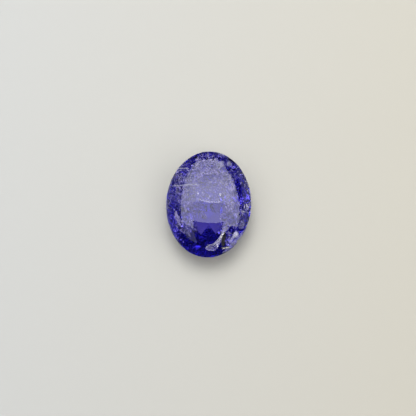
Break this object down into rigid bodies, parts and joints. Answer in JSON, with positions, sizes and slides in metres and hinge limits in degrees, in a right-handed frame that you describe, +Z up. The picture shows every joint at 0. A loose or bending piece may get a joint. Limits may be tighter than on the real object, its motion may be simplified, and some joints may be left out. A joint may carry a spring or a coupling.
{
  "type": "tanzanite cabochon",
  "caption": "Oval tanzanite gem with a smooth domed top and a faceted base, chipped at its rim, resting on a small flat culet.",
  "frame": {"origin": "under the middle of the stone, on the culet flat that it rests on", "axes": "+Z up through the top of the dome, +Y along the long axis of the oval, +X along its short axis"},
  "size_m": [0.008, 0.01, 0.0044],
  "materials": {
    "tanzanite": "polished, see-through, with fractures inside"
  },
  "bodies": {
    "root": {"tanzanite_cabochon": "tanzanite"}
  },
  "joints": []
}
